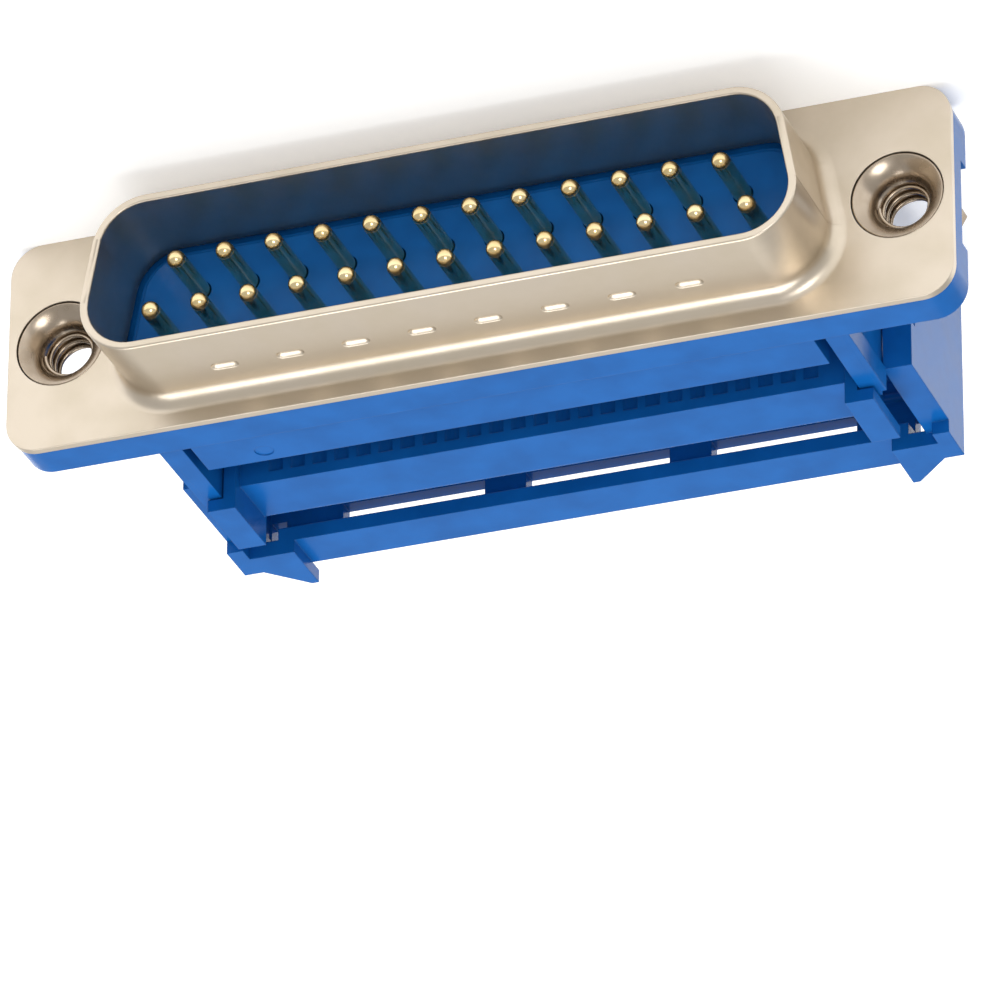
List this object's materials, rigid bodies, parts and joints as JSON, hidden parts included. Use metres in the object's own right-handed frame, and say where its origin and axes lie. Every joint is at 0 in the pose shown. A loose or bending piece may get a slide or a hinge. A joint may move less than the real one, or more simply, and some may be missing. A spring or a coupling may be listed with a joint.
{
  "type": "d-sub connector",
  "caption": "Male D-subminiature ribbon-cable plug: drawn metal shell, blue housing with two rows of pins, threaded inserts, sliding cover and strain relief, open.",
  "frame": {"origin": "centre of the front face of the metal flange", "axes": "-Y is the mating direction, X runs along the connector, +Z points from the narrow row to the wide row, up as it lies"},
  "size_m": [0.053, 0.0281, 0.0126],
  "materials": {
    "shell_metal": "bright tin plate",
    "insert_metal": "nickel plate",
    "contact_gold": "gold plate",
    "blue_plastic": "glossy moulded"
  },
  "bodies": {
    "connector": {"shell": "shell_metal", "housing": "blue_plastic", "contact_block": "contact_gold", "tongue_left": "blue_plastic", "tongue_right": "blue_plastic", "rail_left_top": "blue_plastic", "rail_left_foot": "blue_plastic", "rail_right_top": "blue_plastic", "rail_right_foot": "blue_plastic", "contact_1": "contact_gold", "contact_2": "contact_gold", "contact_3": "contact_gold", "contact_4": "contact_gold", "contact_5": "contact_gold", "contact_6": "contact_gold", "contact_7": "contact_gold", "contact_8": "contact_gold", "contact_9": "contact_gold", "contact_10": "contact_gold", "contact_11": "contact_gold", "contact_12": "contact_gold", "contact_13": "contact_gold", "contact_14": "contact_gold", "contact_15": "contact_gold", "contact_16": "contact_gold", "contact_17": "contact_gold", "contact_18": "contact_gold", "contact_19": "contact_gold", "contact_20": "contact_gold", "contact_21": "contact_gold", "contact_22": "contact_gold", "contact_23": "contact_gold", "contact_24": "contact_gold", "contact_25": "contact_gold", "insert_left": "insert_metal", "insert_right": "insert_metal"},
    "cover": {"cover": "blue_plastic"},
    "strain_relief": {"strain_relief": "blue_plastic"}
  },
  "joints": [
    {"name": "cover_slide", "type": "slide", "parent": "connector", "child": "cover", "axis": [0, -1, 0], "range_m": [0, 0.0031]},
    {"name": "strain_relief_slide", "type": "slide", "parent": "cover", "child": "strain_relief", "axis": [0, -1, 0], "range_m": [-0.005, 0.0037]}
  ]
}
